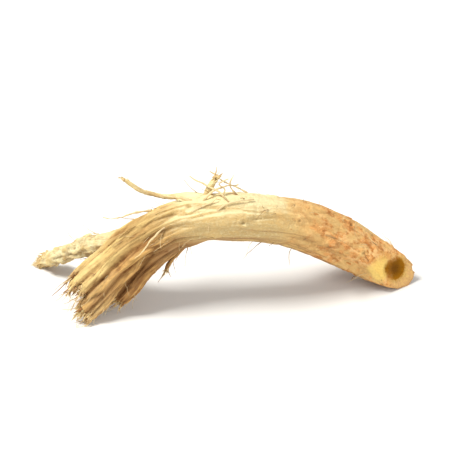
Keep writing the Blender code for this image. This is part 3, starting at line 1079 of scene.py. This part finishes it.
def hollow_dirt_and_shade_group():
    """Brown in grooves, furrows and nicks, dirt in part and painted shade in the hollows and between strands,
    rubbed off the ridges: colour over colour.
    """
    inputs = dict.fromkeys(("Hollow", "Nick", "Furrow", "Wrinkle", "Split", "Seed"), 0.0)
    inputs |= {"Place": "Vector", "Colour": "Color", "Brown": "Color", "Worn": "Color", "Amount": 0.8}
    board, given = new_tree("dirt and shade in hollows", "Shader", inputs, {"Colour": "Color", "Share": "Float"})
    ragged = board.cloud(board.drawn_out(0.22, 2.5), given["Seed"], 3.0, 0.6)
    share = board.most(
        board.ease(given["Hollow"], 0.005, 0.09),
        given["Split"],
        board.ease(given["Nick"], 0.006, 0.026, 0.0, 0.8),
        board.times(given["Furrow"], 0.85),
        board.times(given["Wrinkle"], 0.35),
    )
    share = board.times(share, board.ease(ragged, 0.25, 0.75, 0.75, 1.15), given["Amount"])
    share = board.make("ShaderNodeClamp", {0: share})
    worn = board.ease(given["Hollow"], -0.05, -0.14, 0.0, 0.7)
    colour = board.cover(given["Colour"], given["Worn"], worn, given["Amount"])
    return board.ends(board.cover(colour, given["Brown"], share), share)


def zones_group():
    """How far a place belongs to the cut end's orange bark and to the split end's tan bark."""
    inputs = {"Place": "Vector", "Raggedness": 4 * MM, "Seed": 0.0}
    outputs = {"Cut end": "Float", "Split end": "Float"}
    board, given = new_tree("zones along the root", "Shader", inputs, outputs)
    wander = board.cloud(board.place, given["Seed"], 4.0, 0.6, ZONE_SCALE)
    wander = board.times(board.minus(wander, 0.5), given["Raggedness"])
    along = board.plus(board.parts(board.place)["X"], wander)
    return board.ends(board.ease(along, *CUT_ZONE), board.ease(along, *SPLIT_ZONE))


def orange_group():
    """Mottled orange-tan bark: a colour."""
    inputs = {"Place": "Vector", "Grain": 0.5}
    board, given = new_tree("orange bark", "Shader", inputs, {"Colour": "Color"})
    colour = board.layered(
        ORANGE_PALE,
        (ORANGE_TAN, board.patch("tan")),
        (RUST_BARK, board.patch("rust"), 0.6),
        (ORANGE_LIGHT, board.patch("light"), 0.75),
        (ORANGE_TAN, given["Grain"], 0.25),
    )
    return board.ends(colour)


def golden_highlight_group():
    """How far a place lies in the painted highlight beside the core, a golden patch, soft and ragged at the
    edge.
    """
    board, given = new_tree("gold", "Shader", {"Glow": 0.0, "Place": "Vector"}, {"Share": "Float"})
    ragged = board.cloud(board.place, 71.0, 3.0, 0.6, 1.9)
    off = board.turn("SUBTRACT", board.place, HIGHLIGHT_MIDDLE)
    off = board.turn("LENGTH", board.turn("DIVIDE", off, (*HIGHLIGHT_SIZE, 1e6)))
    away = board.times_plus(board.minus(ragged, 0.5), 0.9, off)
    return board.ends(board.times(board.ease(away, 1.3, 0.55), board.ease(given["Glow"], 0.04, 0.25)))


class Finish(Board):
    """A new material with a Principled shader, and what its pattern reads from the surface."""

    def __init__(self, name, roughness, gloss=0.25, pattern="bark_place"):
        self.material = bpy.data.materials.new(name)
        self.material.use_nodes = True
        super().__init__(self.material.node_tree)
        self.shader = self.tree.nodes["Principled BSDF"]
        self.shader.inputs["Roughness"].default_value = roughness
        self.shader.inputs["Specular IOR Level"].default_value = gloss
        self.place = self.mark(pattern, "Vector")

    def mark(self, name, kind="Fac"):
        """What is written on the mesh under this name."""
        return self.make("ShaderNodeAttribute", None, kind, attribute_name=name)

    def graded(self, name, *limits):
        """What is written on the mesh under this name, eased between these limits."""
        return self.ease(self.mark(name), *limits)

    def here(self):
        """The place on the object, in metres."""
        return self.make("ShaderNodeTexCoord", None, "Object")

    def zones(self):
        """How far the place belongs to the cut end and to the split end."""
        return self.use("zones along the root", Place=self.here(), Raggedness=RAGGEDNESS, Seed=ZONE_SEED)

    def orange(self, grain):
        """The colour of the orange bark."""
        return self.use("orange bark", Place=self.mark("bark_place", "Vector"), Grain=grain)["Colour"]

    def golden(self):
        """How far the place lies in the painted highlight beside the core, a golden patch."""
        return self.use("gold", Glow=self.mark("glow"), Place=self.mark("face_place", "Vector"))["Share"]

    def wear(self, colour, height, depth, roughness=None):
        """Gives the shader its colour, its bump and its roughness."""
        self.tree.links.new(colour, self.shader.inputs["Base Color"])
        height = self.times(height, self.graded("seam", *SEAM_CALM, 1.0, 0.0))
        bump = self.make("ShaderNodeBump", {"Height": height, "Distance": depth * MM, "Strength": 1.0})
        self.tree.links.new(bump, self.shader.inputs["Normal"])
        if roughness is not None:
            self.tree.links.new(roughness, self.shader.inputs["Roughness"])
        return self.material


def bark_material():
    """Cream and straw bark, fluted and browner at the split, mottled orange-tan towards the cut. Painted
    light: a highlight on the tops and beside the cut face, shade on the undersides and, with dirt, in the
    hollows.
    """
    finish = Finish("bark", 0.8)
    zones = finish.zones()
    cut_side, split_side = zones["Cut end"], zones["Split end"]
    grain, fibres, speckle = finish.streak("grain"), finish.streak("fibres"), finish.patch("speckle")
    pale = finish.mark("pale")

    shade_patches = finish.times_plus(finish.patch("shade_patches"), 0.5, 0.5)
    tan = finish.cover(RIDGE_TAN, STRAW_BARK, finish.streak("broad"))
    tan = finish.cover(tan, FIBRE_BROWN, finish.ease(fibres, 0.4, 0.95), 0.7)
    colour = finish.layered(
        PALE_BARK,
        (STRAW_BARK, grain, 0.6),
        (CREAM, speckle, 0.4),
        (GREY_STREAK, finish.streak("grey"), 0.32),
        (GOLDEN_STRAW, finish.patch("blotch"), 0.4),
        # Painted highlight: cream where the surface faces up.
        (CREAM, finish.graded("upward", 0.55, 0.95, 0.0, 0.75)),
        (tan, split_side, 0.85),
        (GOLDEN_STRAW, finish.ease(cut_side, 0.0, 0.5, 0.0, 0.8)),
        (finish.orange(grain), finish.ease(cut_side, 0.15, 1.0)),
        (GOLDEN_STRAW, finish.patch("dun"), cut_side, 0.75),
        (RUST_BARK, finish.patch("dusky"), cut_side, 0.35),
        (ORANGE_TAN, finish.patch("freckle"), 0.25),
        (STRAND_YELLOW, finish.graded("tone", 0.45, 0.05, 0.0, 0.65), split_side),
        (finish.cover(BRANCH_PALE, BRANCH_TAN, finish.patch("lobed"), 0.7), pale, 0.9),
        (BROWN_AND_UNDER_SHADE, finish.graded("tone", 0.5, 1.0, 0.0, 0.7)),
        # Painted shade: browner where the surface faces down, in uneven patches.
        (BROWN_AND_UNDER_SHADE, finish.graded("upward", -0.15, -0.75, 0.0, 0.85), shade_patches),
        # Painted highlight beside the cut face, in the cortex's yellow.
        (CORTEX_YELLOW, finish.golden()),
    )

    # How strong the dirt and painted shade in the hollows are: stronger and patchy at the split end.
    strong = finish.cloud(finish.drawn_out(1.6, 1.6), 17.0)
    strong = finish.ease(strong, 0.35, 0.60, 0.7, 1.0)
    strong = finish.times(strong, finish.graded("tone", 0.05, 0.5, 0.8, 1.0))
    strong = finish.most(strong, finish.minus(1.0, split_side))
    amount = finish.times_plus(split_side, 0.48, 0.42)
    amount = finish.times(amount, strong, finish.ease(pale, 0.2, 1.0, 1.0, 0.9))
    lighter = finish.graded("tone", 0.6, 0.1, 0.0, 0.6)
    brown = finish.cover(FURROW_BROWN, FIBRE_BROWN, lighter, split_side)
    worn = finish.cover(STRAND_YELLOW, WORN_TAN, finish.graded("tone", 0.15, 0.6))
    marks = ("hollow", "nick", "furrow", "wrinkle", "split")
    inputs = {name.capitalize(): finish.mark(name) for name in marks}
    inputs["Brown"] = finish.cover(brown, BRANCH_TAN, finish.ease(pale, 0.4, 0.9))
    inputs["Worn"] = finish.cover(worn, ORANGE_PALE, cut_side)
    inputs |= {"Colour": colour, "Place": finish.place, "Amount": amount, "Seed": 3.0}
    dirt_and_shade = finish.use("dirt and shade in hollows", **inputs)
    colour = finish.cover(dirt_and_shade["Colour"], SOIL, finish.patch("specks"), 0.6)
    height = finish.times_plus(grain, 0.5, finish.times(speckle, 0.8))
    height = finish.minus(height, finish.times(fibres, split_side))
    return finish.wear(colour, height, 0.03, finish.ease(dirt_and_shade["Share"], 0.0, 1.0, 0.74, 0.95))


def cut_material():
    """The slanted cut: golden cortex with rays, a round dark ochre core and a soft tan rim. Painted light: a
    highlight at the face's left, and shade on the core's upper left.
    """
    finish = Finish("cut face", 0.8, 0.12, "face_place")
    across = finish.parts(finish.place)
    grit = finish.cloud(finish.place, 33.0, 3.0, 0.6, 5.0)
    core = finish.times_plus(finish.minus(grit, 0.5), 0.35, core_share(finish, finish.place, 2.0))
    rays = finish.ease(finish.cloud(outward(finish, finish.place), 31.0, 2.0, 0.6, 8.0), 0.35, 0.65)
    rays = finish.times(rays, finish.ease(core, 0.15, 0.85))
    spots, pores = finish.patch("spots"), finish.patch("pores")
    far = finish.most(finish.ease(across["X"], 0.5, 1.1), finish.ease(across["Y"], -0.5, -1.2))
    ring = finish.minus(finish.ease(core, 0.98, 1.10), finish.ease(core, 1.12, 1.30))
    side = finish.ease(across["X"], -1.2, -0.2)
    above = finish.ease(across["Y"], 0.45, 1.0)
    outer = finish.most(finish.minus(1.0, side), finish.times(above, 0.85))
    upper_left = finish.minus(across["Y"], across["X"])
    ochre = finish.layered(
        CORE_OCHRE,
        (CORE_PITH, finish.ease(core, 0.1, 1.2)),
        (CORE_PITH, rays, 0.35),
        (FURROW_BROWN, pores, 0.45),
        # Painted shade: the core is darker towards its upper left.
        (FURROW_BROWN, finish.ease(upper_left, -0.1, 1.0, 0.0, 0.2)),
    )
    colour = finish.layered(
        CORTEX_YELLOW,
        (CORTEX_GOLD, rays, 0.25),
        (CORTEX_GOLD, spots, 0.2),
        (RIM_TAN, far, finish.times_plus(spots, 0.3, 0.6)),
        (ochre, finish.ease(core, 1.14, 0.84)),
        (CORE_OCHRE, ring, finish.times_plus(pores, 0.15, 0.15)),
        (RIM_BROWN, finish.graded("rim", 1.0, 0.6), side, 0.7),
        # Orange bark over the face's left and top, kept off the painted highlight.
        (finish.orange(0.5), finish.minus(1.0, finish.golden()), outer),
    )
    height = finish.times_plus(rays, 0.6, finish.times_plus(spots, 0.4, grit))
    return finish.wear(colour, height, 0.05)


def torn_material():
    """Pale torn wood at the tips of the strands, brown in its nicks and hollows as fibres and as painted
    shade.
    """
    finish = Finish("torn wood", 0.82)
    grain = finish.streak("torn")
    colour = finish.cover(TORN_PALE, STRAW_BARK, grain)
    brown = finish.most(finish.graded("nick", 0.0, 0.03), finish.graded("hollow", 0.0, 0.1))
    # Brown in the nicks and hollows, partly fibres and partly painted shade, fainter on pale strands.
    colour = finish.cover(colour, TORN_BROWN, brown, finish.graded("pale", 0.2, 1.0, 0.9, 0.25))
    return finish.wear(colour, grain, 0.05)


def thread_material(name, pale, brown):
    """Hair or fibre that is paler or browner from one to the next, and darker at its foot."""
    finish = Finish(name, 0.75)
    stain = finish.cloud(finish.here(), 57.0, 3.0, 0.6, STAIN_SCALE)
    colour = finish.layered(
        pale,
        (brown, finish.graded("tone", 0.35, 1.0), finish.graded("pale", 0.2, 1.0, 1.0, 0.3)),
        (brown, finish.graded("reach", 0.3, 0.0, 0.0, 0.4)),
        (brown, finish.ease(stain, 0.45, 0.75, 0.0, 0.7)),
    )
    return finish.wear(colour, finish.cloud(finish.here(), 51.0, 2.0, 0.5, FINE_SCALE), 0.01)


def flake_material():
    """Loose bark in the colours of the bark that it lies on, a little browner."""
    finish = Finish("bark flake", 0.9)
    speckle = finish.ease(finish.cloud(finish.here(), 61.0, 3.0, 0.6, FINE_SCALE), 0.4, 0.6)
    straw = finish.cover(PALE_BARK, STRAW_BARK, finish.mark("tone"))
    orange = finish.cover(ORANGE_PALE, ORANGE_TAN, finish.mark("tone"))
    colour = finish.cover(straw, orange, finish.zones()["Cut end"])
    return finish.wear(finish.cover(colour, BROWN_AND_UNDER_SHADE, speckle, 0.3), speckle, 0.01)


def crumb_material():
    """Dark dry soil, some crumbs redder."""
    finish = Finish("soil crumb", 0.95)
    speckle = finish.cloud(finish.here(), 61.0, 3.0, 0.6, SOIL_SCALE)
    return finish.wear(finish.cover(SOIL, FURROW_BROWN, finish.mark("tone")), speckle, 0.01)


def finish_piece(piece, *nodes):
    """Lets a piece ride on the root, and hides the imported nodes given."""
    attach(piece, BODY)
    if nodes:
        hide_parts(*nodes)


def build_root(node, low, high):
    """The root's body and everything that grows or lies on it."""
    for group in (streaks_group, patches_group, hollow_dirt_and_shade_group, zones_group, orange_group, golden_highlight_group):
        group()
    body = even_copy(node)
    mark_bark(body, root_routes())
    materials = {"Bark": bark_material(), "Cut face": cut_material(), "Torn wood": torn_material()}
    body = grow(body, relief_tree(), {**RELIEF, **materials})
    mark_hollows(body)
    spare = (high - low) * BOX_SPARE
    limits = {"Lowest corner": low - spare, "Highest corner": high + spare}
    rounding = rounding_tree()
    threads, bits = thread_tree(rounding), scatter_tree()
    fibre = thread_material("torn fibre", TORN_PALE, TORN_BROWN)
    hair = thread_material("fine hair", HAIR_PALE, HAIR_BROWN)
    grown = []
    for name, row in THREADS.items():
        material = hair if name == "fine_hairs" else fibre
        grown.append((name, threads, {**named(THREAD_INPUTS, row), **limits, "Material": material}))
    for name, material in (("bark_flakes", flake_material()), ("soil_crumbs", crumb_material())):
        grown.append((name, bits, {**named(BIT_INPUTS, BITS[name]), "Material": material}))
    pieces = [grow(show(name, body.data.copy()), tree, values) for name, tree, values in grown]
    whiskers = {"Width": 2 * MM, "Tip share": 1.0, "Sides": 8, "Waver": 0.25 * MM, "Material": hair}
    pieces.append(grow(whisker_lines(), rounding, {**whiskers, **limits}))
    finish_piece(body, NODE)
    for piece in pieces:
        finish_piece(piece)


def build_floor():
    """A plain pale floor."""
    bpy.ops.mesh.primitive_plane_add(size=FLOOR_SIZE)
    floor = bpy.context.object
    floor.name = "floor"
    material = bpy.data.materials.new("floor")
    material.use_nodes = True
    shader = material.node_tree.nodes["Principled BSDF"]
    shader.inputs["Base Color"].default_value = FLOOR_WHITE
    shader.inputs["Roughness"].default_value = FLOOR_ROUGHNESS
    floor.data.materials.append(material)


def aim(thing, place, target):
    """Puts a light or camera at a place and turns it to the target."""
    thing.location = place
    thing.rotation_euler = (target - place).to_track_quat("-Z", "Y").to_euler()


def build_studio(low, high):
    """The camera at the photograph's angle, two soft lights and a pale surrounding."""
    middle = (low + high) / 2
    level = math.cos(VIEW_ELEVATION)
    towards = Vector(
        (math.sin(VIEW_AZIMUTH) * level, -math.cos(VIEW_AZIMUTH) * level, math.sin(VIEW_ELEVATION))
    )
    lens = bpy.data.cameras.new("camera")
    lens.lens = VIEW_LENS
    lens.sensor_width = VIEW_SENSOR
    lens.clip_start = VIEW_CLIP * MM
    camera = show("camera", lens)
    bpy.context.scene.camera = camera
    distance = (high.x - low.x) / VIEW_FILL * VIEW_LENS / VIEW_SENSOR
    aim(camera, middle + towards * distance, middle)

    for name, (place, size, power, colour) in LIGHTS.items():
        lamp = bpy.data.lights.new(name, "AREA")
        lamp.size = size
        lamp.energy = power
        lamp.color = colour
        aim(show(name, lamp), Vector(place), middle)
    world = bpy.data.worlds.new("world")
    world.use_nodes = True
    world.node_tree.nodes["Background"].inputs["Color"].default_value = WORLD_COLOUR
    world.node_tree.nodes["Background"].inputs["Strength"].default_value = WORLD_STRENGTH
    bpy.context.scene.world = world
    bpy.context.scene.view_settings.view_transform = "Standard"


def main():
    """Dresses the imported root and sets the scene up."""
    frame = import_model()
    build_root(frame["nodes"][NODE], *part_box(NODE))
    build_floor()
    build_studio(*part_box(NODE))


main()
